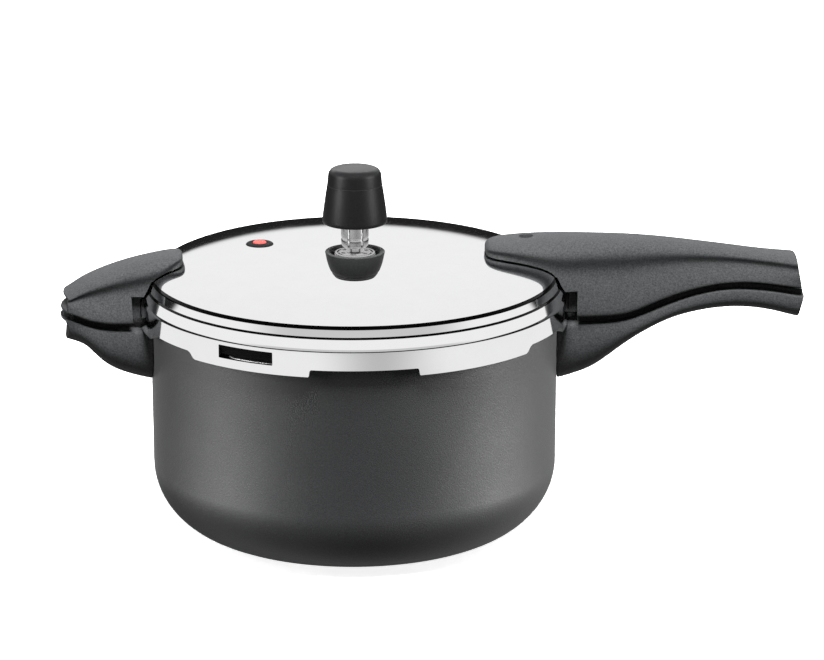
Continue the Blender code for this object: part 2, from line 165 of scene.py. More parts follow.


# mirror-polished aluminium: near white, with faint hazing from the polishing wheel, and near-black lines painted at
# the creases as the reflection of the dark room
def polishedAluminium(look):
    finish, tree, shader = newFinish("mirror_polished_aluminium")
    place = addNode(tree, "TexCoord").outputs["Object"]
    height = addNode(tree, "SeparateXYZ", None, {"Vector": place}).outputs["Z"]
    flat = addNode(tree, "Mapping", None, {"Vector": place, "Scale": (1, 1, 0)}).outputs["Vector"]
    reach = addNode(tree, "VectorMath", {"operation": "LENGTH"}, {0: flat}).outputs["Value"]
    dark = 0.0
    # each ring masked here is painted near black, as a reflection of the dark room in the crease
    for paintedReflectionLine in look["paintedReflectionLines"]:
        near = addNode(tree, "Math", {"operation": "COMPARE"}, {
            0: reach, 1: paintedReflectionLine["radius"] * 0.001, 2: paintedReflectionLine["spread"] * 0.001,
        }).outputs["Value"]
        level = addNode(tree, "Math", {"operation": "COMPARE"}, {
            0: height, 1: paintedReflectionLine["height"] * 0.001, 2: paintedReflectionLine["rise"] * 0.001,
        }).outputs["Value"]
        both = addNode(tree, "Math", {"operation": "MULTIPLY"}, {0: near, 1: level}).outputs["Value"]
        dark = addNode(tree, "Math", {"operation": "MAXIMUM"}, {0: both, 1: dark}).outputs["Value"]
    haze = addNode(tree, "TexNoise", None, {
        "Vector": place, "Scale": perMm(look["haze"]), "Detail": 4.0, "Roughness": 0.6,
    }).outputs["Fac"]
    shade = addNode(tree, "Mix", {"data_type": "RGBA"}, {
        "Factor": haze, "A": hexColour(look["metal"]), "B": hexColour(look["metalLight"]),
    }).outputs["Result"]
    colour = addNode(tree, "Mix", {"data_type": "RGBA"}, {
        "Factor": dark, "A": shade, "B": hexColour(look["paintedReflectionLine"]),
    }).outputs["Result"]
    gloss = addNode(tree, "MapRange", None, {
        "Value": haze, "From Min": 0.3, "From Max": 0.7,
        "To Min": look["roughness"][0], "To Max": look["roughness"][1],
    }).outputs["Result"]
    setShader(tree, shader, {"Base Color": colour, "Roughness": gloss, "Metallic": 1.0})
    return finish


finishes["polished"] = polishedAluminium({
    "metal": "#f1f1f2", "metalLight": "#f7f7f8", "paintedReflectionLine": "#060606", "haze": 12.0,
    "roughness": (0.05, 0.08),
    # painted reflection: near-black rings at the crease and at the bead, standing for the dark room mirrored there
    "paintedReflectionLines": (
        {"radius": 109.3, "spread": 0.7, "height": 140.9, "rise": 1.1},
        {"radius": 111.7, "spread": 0.75, "height": 135.75, "rise": 0.5},
    ),
})


# zinc-plated or stainless pressed steel: mid grey, softly brushed
def brushedSteel(name, look):
    finish, tree, shader = newFinish(name)
    place = addNode(tree, "TexCoord").outputs["Object"]
    stretched = addNode(tree, "Mapping", None, {"Vector": place, "Scale": look["brush"]}).outputs["Vector"]
    scratch = addNode(tree, "TexNoise", None, {
        "Vector": stretched, "Scale": perMm(look["grain"]), "Detail": 3.0, "Roughness": 0.65,
    }).outputs["Fac"]
    colour = addNode(tree, "Mix", {"data_type": "RGBA"}, {
        "Factor": scratch, "A": hexColour(look["dark"]), "B": hexColour(look["light"]),
    }).outputs["Result"]
    gloss = addNode(tree, "MapRange", None, {
        "Value": scratch, "From Min": 0.3, "From Max": 0.7,
        "To Min": look["roughness"][0], "To Max": look["roughness"][1],
    }).outputs["Result"]
    bump = addNode(tree, "Bump", None, {
        "Height": scratch, "Strength": 0.2, "Distance": 0.00005,
    }).outputs["Normal"]
    setShader(tree, shader, {
        "Base Color": colour, "Roughness": gloss, "Normal": bump, "Metallic": 1.0,
    })
    return finish


finishes["steel"] = brushedSteel("pressed_stainless_steel", {
    "brush": (1.0, 1.0, 0.15), "grain": 0.5, "dark": "#a8a8a8", "light": "#d2d2d2",
    "roughness": (0.22, 0.34),
})
# turned zinc-plated steel of the pipe, with the bands the tool leaves round it; darker, painted as the shade seen
# between the weight's fingers and through the plate's holes
finishes["pipe"] = brushedSteel("turned_zinc_steel", {
    "brush": (0.15, 0.15, 1.0), "grain": 0.4, "dark": "#4c4c4c", "light": "#7c7c7c",
    "roughness": (0.25, 0.4),
})
print("finishes made:", len(finishes))


# a mesh object from a finished bmesh, in metres, its faces outwards and its edges crisp
def makePiece(name, shape, finish=None):
    bmesh.ops.remove_doubles(shape, verts=shape.verts, dist=0.0005)
    bmesh.ops.recalc_face_normals(shape, faces=shape.faces)
    bmesh.ops.scale(shape, verts=shape.verts, vec=(0.001, 0.001, 0.001))
    mesh = bpy.data.meshes.new(name)
    shape.to_mesh(mesh)
    shape.free()
    piece = bpy.data.objects.new(name, mesh)
    bpy.context.scene.collection.objects.link(piece)
    if finish:
        mesh.materials.append(finishes[finish])
    smoothFaces(mesh)
    return piece


def smoothFaces(mesh, crisp=32):
    mesh.shade_smooth()
    mesh.set_sharp_from_angle(angle=math.radians(crisp))


# applies a piece's modifiers and shades the result
def settle(piece, crisp=32):
    graph = bpy.context.evaluated_depsgraph_get()
    done = bpy.data.meshes.new_from_object(piece.evaluated_get(graph))
    piece.modifiers.clear()
    piece.data = done
    smoothFaces(done, crisp)


# joins or cuts a piece with helper solids, which are then thrown away
def carve(piece, helpers, operation="DIFFERENCE"):
    for helper in helpers:
        step = piece.modifiers.new("carve", "BOOLEAN")
        step.operation = operation
        step.solver = "EXACT"
        step.object = helper
    settle(piece)
    for helper in helpers:
        bpy.data.objects.remove(helper, do_unlink=True)


# hands a piece over: the body it rides on and the CAD nodes it stands for; its material slot is not used
def handOver(piece, body, slot, *nodes):
    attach(piece, body)
    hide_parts(*nodes)


# spins a profile of (radius, height, rounding) about the upright axis through a place
def spunShape(profile, steps, at=(0.0, 0.0), turn=360.0):
    shape = bmesh.new()
    corners = [shape.verts.new((point[0], 0.0, point[1])) for point in profile]
    for first, second in zip(corners, corners[1:]):
        shape.edges.new((first, second))
    if profile[0][0] > 0:
        shape.edges.new((corners[-1], corners[0]))
    for corner, point in zip(corners, profile):
        if len(point) > 2:
            bmesh.ops.bevel(
                shape, geom=[corner], offset=point[2], offset_type="OFFSET", affect="VERTICES",
                segments=4, profile=0.5, material=-1, clamp_overlap=True,
            )
    bmesh.ops.spin(
        shape, geom=shape.verts[:] + shape.edges[:], cent=(0, 0, 0), axis=(0, 0, 1),
        angle=math.radians(turn), steps=steps, use_merge=turn == 360.0,
    )
    bmesh.ops.remove_doubles(shape, verts=shape.verts, dist=0.0005)
    bmesh.ops.translate(shape, verts=shape.verts, vec=(*at, 0.0))
    return shape


# a flat outline of (across, up, rounding) on the plane of a handle's side, drawn out both ways
def plateShape(outline, halfDepth):
    shape = bmesh.new()
    corners = [shape.verts.new((0.0, point[0], point[1])) for point in outline]
    shape.faces.new(corners)
    for corner, point in zip(corners, outline):
        if len(point) > 2:
            bmesh.ops.bevel(
                shape, geom=[corner], offset=point[2], offset_type="OFFSET", affect="VERTICES",
                segments=5, profile=0.5, material=-1,
            )
    grown = bmesh.ops.extrude_face_region(shape, geom=shape.faces[:])
    drawn = [item for item in grown["geom"] if isinstance(item, bmesh.types.BMVert)]
    bmesh.ops.translate(shape, verts=shape.verts, vec=(-halfDepth, 0, 0))
    bmesh.ops.translate(shape, verts=drawn, vec=(2 * halfDepth, 0, 0))
    return shape


def lifted(profile, height):
    return [(point[0], point[1] + height, *point[2:]) for point in profile]


def arcPoints(centre, radius, start, end, steps):
    angles = [math.radians(start + (end - start) * step / steps) for step in range(steps + 1)]
    return [(centre[0] + radius * math.cos(a), centre[1] + radius * math.sin(a)) for a in angles]


lid = {
    "sheet": 2.0, "rimRadius": 110.5, "rimHeight": 136.0, "crown": 15.3, "power": 4, "roundness": 0.371,
    "crease": (109.5, 140.55, 0.25), "band": (111.3, 136.1, 0.2), "bead": (112.0, 135.6, 0.4),
    "skirtTop": (115.35, 130.8, 0.5), "skirt": 115.7, "bottom": 115.7,
    "lug": 111.3, "lugTop": 117.9, "notchTop": 119.7, "notchWidth": 56.8, "notches": 6,
    "windowAzimuth": -122.0, "windowWidth": 32.2, "windowLow": 120.5, "windowHigh": 127.5,
}


# height of the lid's crown at a radius: nearly flat, then rolling over to its rim
def crownHeight(radius, inset=0.0):
    share = min(radius / (lid["rimRadius"] - inset), 1.0) ** lid["power"]
    return lid["rimHeight"] - inset + lid["crown"] * (1 - share) ** lid["roundness"]


def crownProfile(inset=0.0, lift=0.0, steps=40):
    radii = [(lid["rimRadius"] - inset) * (1 - (1 - step / steps) ** 3) for step in range(steps + 1)]
    return [(radius, crownHeight(radius, inset) + lift) for radius in radii]


ventTop = crownHeight(math.hypot(*ventAt))
valveTop = crownHeight(math.hypot(*valveAt))

pot = {
    "radius": 110.0, "wall": 2.6, "floor": 3.0, "corner": 38.0, "taper": 0.4,
    "rimLow": 118.3, "rimHigh": 120.8, "rimRadius": 110.9, "tabRadius": 113.3, "tabAngle": 7.0, "tabs": 6,
    "steps": 180,
}


def makePot():
    low = pot["radius"] - pot["taper"]
    inner = pot["corner"] - pot["wall"]
    outside = arcPoints((low - pot["corner"], pot["corner"]), pot["corner"], -90, 0, 20)
    inside = arcPoints((low - pot["corner"], pot["floor"] + inner), inner, 0, -90, 18)
    profile = [(0, 0)] + outside + [
        (pot["radius"], pot["rimLow"], 0.3), (pot["rimRadius"], pot["rimLow"], 0.3),
        (pot["rimRadius"], pot["rimHigh"], 0.6), (pot["radius"] - pot["wall"], pot["rimHigh"], 0.6),
    ] + inside + [(0, pot["floor"])]
    shape = spunShape(profile, pot["steps"])
    pitch = 360 / pot["tabs"]
    for vert in shape.verts:
        reach = math.hypot(vert.co.x, vert.co.y)
        azimuth = math.degrees(math.atan2(vert.co.y, vert.co.x))
        away = abs((azimuth + pitch / 2) % pitch - pitch / 2)
        if reach > pot["rimRadius"] - 0.35 and away < pot["tabAngle"] and vert.co.z > pot["rimLow"] - 0.2:
            vert.co.xy *= 1 + (pot["tabRadius"] - pot["rimRadius"]) / reach
    piece = makePiece("pot_body_drawn", shape, "nonstick")
    handOver(piece, "pot", "nonstick", "pot_body")


def makeLid():
    skirtInside = lid["skirt"] - lid["sheet"]
    profile = [point for point in crownProfile() if point[0] < lid["crease"][0] - 0.2] + [
        lid["crease"], lid["band"], lid["bead"], lid["skirtTop"],
        (lid["skirt"], lid["skirtTop"][1] - 1.2, 0.3), (lid["skirt"], lid["bottom"], 0.3),
        (lid["lug"], lid["bottom"], 0.3), (lid["lug"], lid["lugTop"], 0.3), (skirtInside, lid["lugTop"]),
        (skirtInside, 129.0, 0.6), (110.3, 134.0, 0.6),
    ] + list(reversed(crownProfile(lid["sheet"])))
    piece = makePiece("lid_shell_pressed", spunShape(profile, 240), "polished")
    low, high = lid["bottom"], lid["notchTop"]
    cutters = []
    for index in range(lid["notches"]):
        lean, soft, half = (0.3, 1.0, lid["notchWidth"] / 2) if index % 3 == 1 else (1.8, 1.9, 20.4)
        shape = plateShape((
            (-half - 5, low - 4), (half + 5, low - 4), (half + 5, low - 0.05),
            (half + lean, low - 0.05, soft), (half - lean, high, soft), (-half + lean, high, soft),
            (-half - lean, low - 0.05, soft), (-half - 5, low - 0.05),
        ), 9)
        bmesh.ops.translate(shape, verts=shape.verts, vec=(112, 0, 0))
        turn = Matrix.Rotation(math.radians((index + 0.5) * 360 / lid["notches"]), 4, "Z")
        bmesh.ops.transform(shape, matrix=turn, verts=shape.verts)
        cutters.append(makePiece(f"notch_{index}", shape))
    half = lid["windowWidth"] / 2
    low, high = lid["windowLow"], lid["windowHigh"]
    shape = plateShape(((-half, low, 0.5), (half, low, 0.5), (half, high, 0.5), (-half, high, 0.5)), 9)
    bmesh.ops.translate(shape, verts=shape.verts, vec=(112, 0, 0))
    turn = Matrix.Rotation(math.radians(lid["windowAzimuth"]), 4, "Z")
    bmesh.ops.transform(shape, matrix=turn, verts=shape.verts)
    cutters.append(makePiece("window", shape))
    holes = ((ventAt, 5.4), (valveAt, 5.0), (pinAt, 4.6), ((80, 0), 2.4), ((98, -14), 2.4),
             ((98, 14), 2.4), ((-99, -9), 2.4), ((-99, 9), 2.4))
    for index, (at, radius) in enumerate(holes):
        drill = spunShape(((0, 130), (radius, 130), (radius, 170), (0, 170)), 32, at)
        cutters.append(makePiece(f"drill_{index}", drill))
    carve(piece, cutters)
    handOver(piece, "lid", "polished", "lid_shell")


def makeGasket():
    profile = (
        (106.0, 121.3, 0.4), (112.5, 121.3, 0.5), (113.3, 122.2, 0.4), (113.3, 127.8, 0.4),
        (112.4, 128.8, 0.5), (106.6, 128.8, 0.5), (105.8, 127.2, 0.5), (109.6, 126.0, 0.5),
        (109.6, 124.2, 0.5), (105.8, 122.9, 0.5),
    )
    piece = makePiece("sealing_ring_moulded", spunShape(profile, 180), "rubber")
    handOver(piece, "seal", "rubber", "sealing_ring")


# half of a handle's outline across, from the middle of its underside: (width, height) as shares
upperOutline = (
    (0.0, 0.0), (0.5, 0.0), (0.93, 0.0), (0.985, 0.012), (1.0, 0.07), (0.94, 0.2), (0.84, 0.36),
    (0.74, 0.5), (0.695, 0.6), (0.73, 0.69), (0.77, 0.76), (0.765, 0.82), (0.7, 0.88), (0.6, 0.925),
    (0.45, 0.965), (0.25, 0.99), (0.0, 1.0),
)
lowerOutline = (
    (0.0, 0.0), (0.34, 0.015), (0.62, 0.07), (0.84, 0.2), (0.96, 0.38), (1.0, 0.55), (0.99, 0.72),
    (0.955, 0.88), (0.935, 0.96), (0.9, 0.99), (0.86, 1.0), (0.5, 1.0), (0.0, 1.0),
)

# a handle's outline along its length: (distance from the pot's axis, underside, top, half width)
grips = {
    "lidLong": {
        "side": 1, "outline": upperOutline, "waist": (104.0, 128.0, 226.0, 241.2), "bow": 0.8, "lean": (1.5, -1.6), "stations": (
            (70.8, 150.6, 154.4, 8.0), (73.0, 146.0, 157.3, 12.8), (80.0, 142.0, 158.7, 17.0),
            (90.0, 136.0, 159.5, 19.8), (100.0, 128.0, 160.1, 21.6), (112.0, 119.3, 160.4, 22.4),
            (121.0, 119.1, 160.3, 22.0), (142.0, 119.0, 159.7, 20.4), (151.0, 121.2, 159.1, 19.2),
            (162.0, 125.6, 158.2, 17.8), (175.0, 130.3, 156.6, 16.3), (193.0, 134.4, 154.0, 14.9),
            (208.0, 135.4, 151.8, 14.3), (220.0, 134.6, 149.9, 14.3), (232.0, 132.7, 148.7, 14.4),
            (238.6, 131.6, 148.1, 14.4), (240.6, 131.4, 147.9, 14.2), (241.2, 131.4, 147.7, 14.0),
        ),
    },
    "lidHelper": {
        "side": -1, "outline": upperOutline, "waist": (102.0, 114.0, 140.0, 158.5), "bow": 4.4, "lean": (0.0, -2.0), "stations": (
            (92.0, 148.0, 152.6, 8.0), (94.0, 146.0, 154.1, 12.6), (98.0, 138.0, 154.2, 15.6),
            (104.0, 126.0, 153.5, 18.2), (111.0, 119.3, 152.2, 20.2), (122.0, 119.2, 149.5, 21.6),
            (134.0, 119.4, 145.4, 21.6), (145.0, 121.6, 140.8, 20.0), (151.0, 123.4, 137.6, 18.4),
            (157.0, 124.6, 134.4, 16.6), (158.5, 124.9, 133.8, 15.8),
        ),
    },
    "bodyLong": {
        "side": 1, "outline": lowerOutline, "bow": 1.2, "lean": (-2.6, 0.6), "stations": (
            (104.0, 79.0, 114.7, 19.2), (112.0, 81.2, 114.7, 20.0), (120.0, 83.6, 114.7, 20.0),
            (129.5, 87.2, 114.6, 19.8), (139.5, 95.2, 114.6, 19.2), (151.0, 104.3, 116.6, 18.2),
            (166.5, 112.6, 122.6, 16.6), (177.5, 116.3, 126.6, 15.6), (194.0, 119.3, 130.6, 14.6),
            (209.0, 119.8, 131.2, 14.2), (222.0, 118.3, 129.9, 14.2), (232.0, 115.9, 128.4, 14.4),
            (240.6, 113.8, 126.8, 14.2), (243.0, 113.5, 126.4, 13.9), (243.7, 113.6, 126.2, 13.7),
        ),
    },
    "bodyHelper": {
        "side": -1, "outline": lowerOutline, "bow": 4.2, "lean": (-3.0, 0.0), "stations": (
            (104.0, 83.0, 114.7, 18.4), (112.0, 85.0, 114.7, 19.6), (118.0, 86.6, 114.8, 20.2),
            (128.0, 90.0, 115.1, 20.6), (135.0, 94.4, 115.7, 20.6), (141.6, 101.0, 116.9, 19.8),
            (146.0, 104.8, 118.0, 18.6), (151.0, 106.4, 119.2, 17.2), (156.4, 107.4, 120.5, 15.2),
            (158.8, 107.8, 120.7, 14.2),
        ),
    },
}


# draws the outline from station to station, closes both ends and lets a subdivision smooth it
def gripShape(grip):
    shape = bmesh.new()
    crease = shape.edges.layers.float.new("crease_edge")
    first = grip["stations"][0]
    half = [shape.verts.new((first[0], share[0] * first[3], first[1] + share[1] * (first[2] - first[1])))
            for share in grip["outline"]]
    for start, end in zip(half, half[1:]):
        shape.edges.new((start, end))
    bmesh.ops.mirror(
        shape, geom=shape.verts[:] + shape.edges[:], matrix=Matrix(), merge_dist=0.001, axis="Y",
    )
    loop = shape.edges[:]
    rings = []
    bmesh.ops.contextual_create(shape, geom=loop)
    for before, after in zip(grip["stations"], grip["stations"][1:]):
        drawn = bmesh.ops.extrude_edge_only(shape, edges=loop)["geom"]
        loop = [item for item in drawn if isinstance(item, bmesh.types.BMEdge)]
        ring = [item for item in drawn if isinstance(item, bmesh.types.BMVert)]
        rise = (after[2] - after[1]) / (before[2] - before[1])
        bmesh.ops.scale(
            shape, verts=ring, vec=(1, after[3] / before[3], rise),
            space=Matrix.Translation((0, 0, -before[1])),
        )
        bmesh.ops.translate(shape, verts=ring, vec=(after[0] - before[0], 0, after[1] - before[1]))
        rings.append((after, ring))
    if grip.get("waist"):          # the waist dies out towards the nose and the end
        gone, full, fades, end = grip["waist"]
        for station, ring in rings:
            nose = min(max((full - station[0]) / (full - gone), 0.0), 1.0)
            fill = max(nose, 0.9 * min(max((station[0] - fades) / (end - fades), 0.0), 1.0))
            for vert in ring:
                up = (vert.co.z - station[1]) / (station[2] - station[1])
                vert.co.y *= 1 + fill * 0.28 * max(0.0, 1 - ((up - 0.6) / 0.45) ** 2)
    cap = bmesh.ops.contextual_create(shape, geom=loop)["faces"]
    if grip.get("bow"):
        for edge in loop:
            edge[crease] = 0.85
        bmesh.ops.inset_region(shape, faces=cap, thickness=1.0, use_even_offset=True)
        last = grip["stations"][-1]
        low, high = grip["lean"]
        for vert in shape.verts:
            near = max(0.0, 1 - (last[0] - vert.co.x) / 24) ** 2
            up = min(max((vert.co.z - last[1]) / (last[2] - last[1]), 0.0), 1.0)
            across = min(abs(vert.co.y) / last[3], 1.1)
            vert.co.x += near * (low + (high - low) * up - grip["bow"] * across ** 2)
    bmesh.ops.scale(shape, verts=shape.verts, vec=(grip["side"], 1, 1))
    return shape


def smoothGrip(name, grip, finish="phenolic"):
    piece = makePiece(name, gripShape(grip), finish)
    step = piece.modifiers.new("smooth", "SUBSURF")
    step.levels = step.render_levels = 2
    settle(piece)
    return piece


def lidClearance(name, low):
    crown = [point for point in crownProfile(0.0, 0.7) if point[0] < 109.6]
    return makePiece(name, spunShape(crown + low, 180))


def makeLidGrips():
    clear = [(110.1, 141.2), (112.6, 136.4), (114.5, 133.5), (121.0, 133.5), (121.0, 100.0), (0, 100.0)]
    close = [(110.0, 141.0), (112.5, 136.1), (116.0, 130.5), (116.0, 100.0), (0, 100.0)]
    jobs = (
        ("lidLong", "lid_long_handle_moulded", "lid_long_handle", (
            (108.0, 119.6, 150.0, 14.0), (112.0, 119.6, 150.0, 14.0), (119.0, 119.6, 150.0, 14.0),
            (124.0, 119.6, 148.0, 13.6), (128.0, 119.6, 146.0, 12.8),
        )),
        ("lidHelper", "lid_helper_handle_moulded", "lid_helper_handle", (
            (106.0, 119.8, 142.0, 13.0), (110.0, 119.8, 142.0, 13.0), (118.0, 119.8, 140.0, 13.0),
            (124.0, 119.8, 138.0, 12.6), (128.0, 119.8, 136.0, 11.8),
        )),
    )
    for key, name, node, root in jobs:
        piece = smoothGrip(name, grips[key])
        carve(piece, [lidClearance("clear", clear)])
        block = makePiece("root", gripShape({
            "side": grips[key]["side"], "stations": root,
            "outline": ((0, 0), (0.9, 0), (1, 0.03), (1, 0.9), (0.9, 1), (0, 1)),
        }))
        carve(block, [lidClearance("close", close)])
        carve(piece, [block], "UNION")
        drills = []
        if key == "lidLong":
            well = ((0, 138), (6.2, 138), (6.2, 150.8), (3.8, 150.8), (3.8, 158.8), (4.4, 160.4),
                    (4.4, 170), (0, 170))
            drills.append(makePiece("well", spunShape(well, 48, pinAt)))
            screws = ((80, 0, 155.5), (98, -14, 154.5), (98, 14, 154.5))
        else:
            screws = ((-99, -9, 150.9), (-99, 9, 150.9))
        for x, y, top in screws:
            hole = spunShape(((0, 130), (2.4, 130), (2.4, top), (0, top)), 16, (x, y))
            drills.append(makePiece("drill", hole))
        carve(piece, drills)
        handOver(piece, "lid", "phenolic", node)


def makeBodyGrips():
    jobs = (
        ("bodyLong", "body_long_handle_moulded", "body_long_handle", 138.4, 128.0, 92.0),
        ("bodyHelper", "body_helper_handle_moulded", "body_helper_handle", 134.4, 126.0, 94.7),
    )
    for key, name, node, tongue, screwX, seat in jobs:
        side = grips[key]["side"]
        cut = -1 if side > 0 else -2
        piece = smoothGrip(name, grips[key])
        lip = makePiece("lip", gripShape({
            "side": side, "outline": ((0, 0), (0.95, 0), (1, 0.1), (1, 0.9), (0.97, 1), (0, 1)),
            "stations": [(x, top - 2.0, top + 3.0, half * 0.64)
                         for x, under, top, half in grips[key]["stations"][:cut] if x > 119],
        }))
        carve(piece, [lip], "UNION")
        wall = spunShape(((0, 60), (110.35, 60), (110.35, 130), (0, 130)), 180)
        slot = bmesh.new()
        outline = ((100, 87.6), (115, 87.6), (115, 99.6), (tongue, 99.6), (tongue, 102.9),
                   (115, 102.9), (115, 110.4), (100, 110.4))
        slot.faces.new([slot.verts.new((side * x, -9.4, z)) for x, z in outline])
        grown = bmesh.ops.extrude_face_region(slot, geom=slot.faces[:])
        drawn = [item for item in grown["geom"] if isinstance(item, bmesh.types.BMVert)]
        bmesh.ops.translate(slot, verts=drawn, vec=(0, 18.8, 0))
        bore = spunShape(
            ((0, 60), (4.3, 60), (4.3, seat), (2.4, seat), (2.4, 107), (0, 107)), 32, (side * screwX, 0),
        )
        carve(piece, [makePiece("wall", wall), makePiece("slot", slot), makePiece("bore", bore)])
        handOver(piece, "pot", "phenolic", node)


def makeVent():
    cup = lifted((
        (5.4, 0.5, 0.2), (10.3, 0.5, 0.3), (11.1, 1.2, 0.3), (11.0, 1.5, 0.1), (11.6, 1.9, 0.2),
        (12.1, 2.6, 0.2), (12.0, 2.9, 0.1), (13.1, 4.3, 0.8), (14.6, 8.4, 1.8), (15.8, 14.4, 0.5),
        (13.4, 14.4, 0.5), (12.7, 10.0, 1.5), (11.0, 5.2, 1.2), (5.4, 4.2, 0.3),
    ), ventTop)
    piece = makePiece("vent_cup_moulded", spunShape(cup, 96, ventAt), "cup")
    ribs = []
    for index in range(8):
        shape = bmesh.new()
        bmesh.ops.create_cube(shape, size=1)
        bmesh.ops.scale(shape, verts=shape.verts, vec=(2.6, 0.8, 8.0))
        bmesh.ops.translate(shape, verts=shape.verts, vec=(12.1, 0, ventTop + 9.2))
        turn = Matrix.Rotation(math.radians((index + 0.5) * 45), 4, "Z")
        bmesh.ops.transform(shape, matrix=turn, verts=shape.verts)
        bmesh.ops.translate(shape, verts=shape.verts, vec=(*ventAt, 0))
        ribs.append(makePiece(f"rib_{index}", shape))
    carve(piece, ribs, "UNION")
    handOver(piece, "lid", "black", "vent_cup")

    plate = lifted((
        (3.3, 12.6, 0.2), (10.7, 12.6, 0.3), (10.7, 14.0, 0.5), (9.5, 14.0, 0.1), (9.3, 13.1, 0.1),
        (8.7, 13.1, 0.1), (8.5, 14.0, 0.1), (4.6, 14.0, 0.3), (3.3, 13.5, 0.2),
    ), ventTop)
    piece = makePiece("vent_plate_pressed", spunShape(plate, 96, ventAt), "steel")
    holes = []
    for index in range(6):
        shape = bmesh.new()
        bmesh.ops.create_cone(
            shape, cap_ends=True, segments=24, radius1=1.3, radius2=1.3, depth=6,
        )
        bmesh.ops.scale(shape, verts=shape.verts, vec=(1.0, 1.45, 1.0))
        bmesh.ops.translate(shape, verts=shape.verts, vec=(6.6, 0, ventTop + 13.2))
        turn = Matrix.Rotation(math.radians(index * 60 + 20), 4, "Z")
        bmesh.ops.transform(shape, matrix=turn, verts=shape.verts)
        bmesh.ops.translate(shape, verts=shape.verts, vec=(*ventAt, 0))
        holes.append(makePiece(f"hole_{index}", shape))
    carve(piece, holes)
    handOver(piece, "lid", "steel", "vent_plate")


def makeSafetyValve():
    under = crownHeight(math.hypot(*valveAt), lid["sheet"])
    seat = (
        (2.6, under - 2.9, 0.2), (7.0, under - 2.9, 0.3), (7.2, under - 0.6, 0.3), (4.6, under - 0.6, 0.2),
        (4.6, valveTop + 0.45, 0.2), (7.6, valveTop + 0.45, 0.2), (7.1, valveTop + 1.3, 0.5),
        (4.2, valveTop + 1.9, 0.3), (4.0, valveTop + 1.0, 0.2), (2.6, valveTop + 1.0, 0.2),
    )
    piece = makePiece("safety_valve_seat_moulded", spunShape(seat, 64, valveAt), "rubber")
    handOver(piece, "lid", "rubber", "safety_valve_seat")
    pin = (
        (0, under - 2.0), (2.2, under - 2.0, 0.3), (2.2, valveTop + 1.35, 0.1), (3.75, valveTop + 1.35, 0.1),
        (3.6, valveTop + 2.0, 0.4), (2.0, valveTop + 2.4, 0.5), (0, valveTop + 2.5),
    )
    piece = makePiece("safety_valve_pin_moulded", spunShape(pin, 48, valveAt), "red")
    handOver(piece, "safety_pin", "red", "safety_valve_pin")


def makeRegulator():
    fingers = 6
    shape = bmesh.new()
    outline = lifted((
        (3.9, 15.0), (4.3, 17.0, 0.4), (6.5, 17.9, 0.5), (6.7, 21.0, 0.5), (5.3, 21.7, 0.25),
        (6.7, 22.4, 0.5), (6.7, 32.6),
    ), ventTop)
    corners = [shape.verts.new((point[0], 0.0, point[1])) for point in outline]
    for first, second in zip(corners, corners[1:]):
        shape.edges.new((first, second))
    for corner, point in zip(corners, outline):
        if len(point) > 2:
            bmesh.ops.bevel(
                shape, geom=[corner], offset=point[2], offset_type="OFFSET", affect="VERTICES",
                segments=3, profile=0.5, material=-1,
            )
    wide = 47.0
    bmesh.ops.rotate(
        shape, verts=shape.verts, cent=(0, 0, 0), matrix=Matrix.Rotation(math.radians(30 - wide / 2), 3, "Z"),
    )
    bmesh.ops.spin(
        shape, geom=shape.verts[:] + shape.edges[:], cent=(0, 0, 0), axis=(0, 0, 1),
        angle=math.radians(wide), steps=10,
    )
    bmesh.ops.recalc_face_normals(shape, faces=shape.faces)
    bmesh.ops.solidify(shape, geom=shape.faces[:], thickness=-0.6)
    finger = shape.verts[:] + shape.edges[:] + shape.faces[:]
    for index in range(1, fingers):
        copied = bmesh.ops.duplicate(shape, geom=finger)["geom"]
        turned = [item for item in copied if isinstance(item, bmesh.types.BMVert)]
        turn = Matrix.Rotation(math.radians(index * 360 / fingers), 3, "Z")
        bmesh.ops.rotate(shape, verts=turned, cent=(0, 0, 0), matrix=turn)
    bmesh.ops.translate(shape, verts=shape.verts, vec=(*ventAt, 0))
    piece = makePiece("weight_sleeve_pressed", shape, "steel")
    handOver(piece, "weight_guide", "steel", "weight_sleeve")

    cap = lifted((
        (15.4, 30.0, 0.3), (16.6, 30.0, 0.4), (17.2, 31.2, 0.9), (16.0, 41.0, 4.0), (14.5, 50.45),
        (13.1, 50.45, 0.2), (14.9, 31.0, 0.5),
    ), ventTop)
    piece = makePiece("weight_cap_moulded", spunShape(cap, 96, ventAt), "black")
    handOver(piece, "weight", "black", "weight_cap")
    top = lifted((
        (0, 49.0), (12.6, 49.0, 0.2), (12.6, 50.55), (14.48, 50.55), (13.75, 57.6, 1.6),
        (11.6, 59.2, 1.6), (7.0, 59.65, 2.0), (0, 59.7),
    ), ventTop)
    piece = makePiece("weight_top_moulded", spunShape(top, 96, ventAt), "black")
    handOver(piece, "weight", "black", "weight_top")


makePot()
print("pot made")
makeLid()
makeGasket()
print("lid and gasket made")
makeLidGrips()
makeBodyGrips()
print("handles made")
makeVent()
makeSafetyValve()
makeRegulator()
for name in ("vent_pipe", "weight_core", "vent_cup_moulded", "vent_plate_pressed",
             "weight_sleeve_pressed", "weight_cap_moulded", "weight_top_moulded", "safety_valve_seat_moulded", "safety_valve_pin_moulded"):
    bpy.data.objects[name].visible_glossy = False      # the lid is lit clean, with no mirrored knob
print("vent, safety valve and regulator made")

